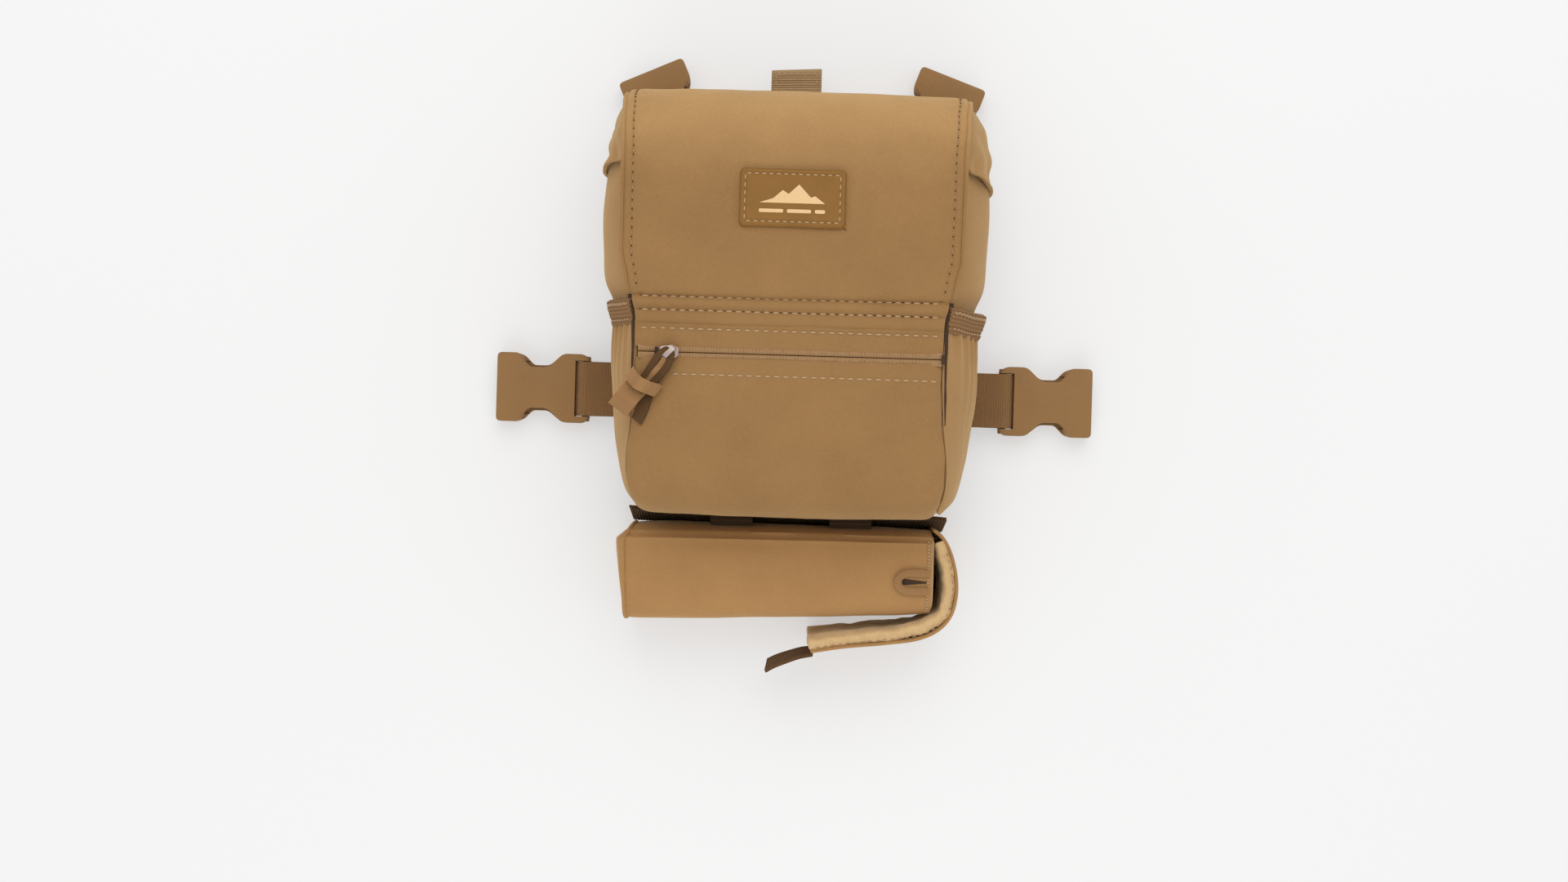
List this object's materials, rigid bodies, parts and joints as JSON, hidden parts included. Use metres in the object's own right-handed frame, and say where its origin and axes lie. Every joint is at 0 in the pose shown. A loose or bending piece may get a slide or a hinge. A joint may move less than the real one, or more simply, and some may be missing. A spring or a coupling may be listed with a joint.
{
  "type": "binocular harness pack",
  "caption": "Padded chest pack for binoculars with a forward-folding lid, a zipped front pocket, webbing tabs with side-release buckles, and a glasses case hung below.",
  "frame": {"origin": "middle of the footprint, on the surface that the pack's back lies on", "axes": "+X across the pack, +Y from the glasses case up to the lid's top edge, +Z out of the pack's front"},
  "size_m": [0.28, 0.282, 0.0915],
  "materials": {
    "face_fabric": "soft brushed weave",
    "stretch_fabric": "stretch knit",
    "spacer_mesh": "open mesh",
    "stiffener_sheet": "plain",
    "magnet_steel": "plated",
    "zip_coil": "moulded coil",
    "zip_metal": "satin",
    "zip_tape": "woven tape",
    "pull_ribbon": "woven ribbon",
    "buckle_plastic": "fine texture",
    "webbing": "ribbed weave",
    "dark_webbing": "ribbed weave",
    "elastic": "ribbed",
    "patch_leather": "embossed",
    "main_lining": "brushed",
    "fleece": "short pile"
  },
  "bodies": {
    "pack": {"back_pad": "spacer_mesh", "back_stiffener": "stiffener_sheet", "back_panel": "face_fabric", "back_lining": "main_lining", "back_magnets": "magnet_steel", "strap_bases": "webbing", "tub_left_wall": "face_fabric", "tub_right_wall": "face_fabric", "tub_bottom_wall": "face_fabric", "tub_front_wall": "face_fabric", "front_lining": "main_lining", "pocket_panel": "face_fabric", "pocket_top_strip": "face_fabric", "pocket_gusset": "face_fabric", "hinge_fold": "face_fabric", "zipper_tapes": "zip_tape", "zipper_coils": "zip_coil", "zipper_stops": "zip_metal", "side_pocket_left": "stretch_fabric", "side_pocket_right": "stretch_fabric", "side_binding_left": "elastic", "side_binding_right": "elastic", "bottom_band": "dark_webbing", "band_tacks": "dark_webbing"},
    "lid": {"lid_front_panel": "face_fabric", "lid_top_panel": "face_fabric", "lid_wing_left": "face_fabric", "lid_wing_right": "face_fabric", "lid_stiffener": "stiffener_sheet", "lid_lining": "main_lining", "lid_patch": "patch_leather", "lid_pull_tab": "webbing", "lid_magnets": "magnet_steel"},
    "zip_slider": {"zip_slider": "zip_metal"},
    "zip_pull": {"zip_pull": "pull_ribbon"},
    "glasses_case": {"case_front_wall": "face_fabric", "case_back_wall": "face_fabric", "case_top_wall": "face_fabric", "case_bottom_wall": "face_fabric", "case_end_wall": "face_fabric", "case_lining": "fleece", "case_front_loop": "webbing", "case_attach_straps": "webbing", "case_magnet": "magnet_steel"},
    "case_flap": {"flap_panel": "face_fabric", "flap_lining": "fleece", "flap_ribbon": "dark_webbing", "flap_magnet": "magnet_steel"},
    "side_left_strap": {"side_left_strap": "webbing"},
    "side_left_buckle": {"side_left_buckle": "buckle_plastic"},
    "side_right_strap": {"side_right_strap": "webbing"},
    "side_right_buckle": {"side_right_buckle": "buckle_plastic"},
    "top_left_strap": {"top_left_strap": "webbing"},
    "top_left_buckle": {"top_left_buckle": "buckle_plastic"},
    "top_right_strap": {"top_right_strap": "webbing"},
    "top_right_buckle": {"top_right_buckle": "buckle_plastic"}
  },
  "joints": [
    {"name": "lid_hinge", "type": "hinge", "parent": "pack", "child": "lid", "pos_m": [0, 0.0238, 0.0856], "axis": [1, 0, 0], "range_deg": [0, 120]},
    {"name": "zip_slide", "type": "slide", "parent": "pack", "child": "zip_slider", "axis": [1, 0, 0], "range_m": [0, 0.112]},
    {"name": "pull_lift", "type": "hinge", "parent": "zip_slider", "child": "zip_pull", "pos_m": [-0.05462, -0.00042, 0.0883], "axis": [-0.8151, 0.5793, 0], "range_deg": [0, 90]},
    {"name": "side_left_fold", "type": "hinge", "parent": "pack", "child": "side_left_strap", "pos_m": [-0.0845, -0.01605, 0.0091], "axis": [0, 1, 0], "range_deg": [-80, 50]},
    {"name": "side_left_bar", "type": "hinge", "parent": "side_left_strap", "child": "side_left_buckle", "pos_m": [-0.0982, -0.01605, 0.005], "axis": [0, 1, 0], "range_deg": [-45, 40]},
    {"name": "side_right_fold", "type": "hinge", "parent": "pack", "child": "side_right_strap", "pos_m": [0.0845, -0.01605, 0.0091], "axis": [0, -1, 0], "range_deg": [-80, 50]},
    {"name": "side_right_bar", "type": "hinge", "parent": "side_right_strap", "child": "side_right_buckle", "pos_m": [0.0982, -0.01605, 0.005], "axis": [0, -1, 0], "range_deg": [-45, 40]},
    {"name": "top_left_fold", "type": "hinge", "parent": "pack", "child": "top_left_strap", "pos_m": [-0.0496, 0.08375, 0.0091], "axis": [-0.9135, -0.4067, 0], "range_deg": [0, 50]},
    {"name": "top_left_bar", "type": "hinge", "parent": "top_left_strap", "child": "top_left_buckle", "pos_m": [-0.05517, 0.09627, 0.005], "axis": [-0.9135, -0.4067, 0], "range_deg": [0, 40]},
    {"name": "top_right_fold", "type": "hinge", "parent": "pack", "child": "top_right_strap", "pos_m": [0.0518, 0.08275, 0.0091], "axis": [-0.9397, 0.342, 0], "range_deg": [0, 50]},
    {"name": "top_right_bar", "type": "hinge", "parent": "top_right_strap", "child": "top_right_buckle", "pos_m": [0.05649, 0.09563, 0.005], "axis": [-0.9397, 0.342, 0], "range_deg": [0, 40]},
    {"name": "case_swing", "type": "hinge", "parent": "pack", "child": "glasses_case", "pos_m": [0, -0.07365, 0.0245], "axis": [1, 0, 0], "range_deg": [-4, 4]},
    {"name": "flap_open", "type": "hinge", "parent": "glasses_case", "child": "case_flap", "pos_m": [0.0659, -0.07655, 0.022], "axis": [0, 0, 1], "range_deg": [0, 50]}
  ]
}
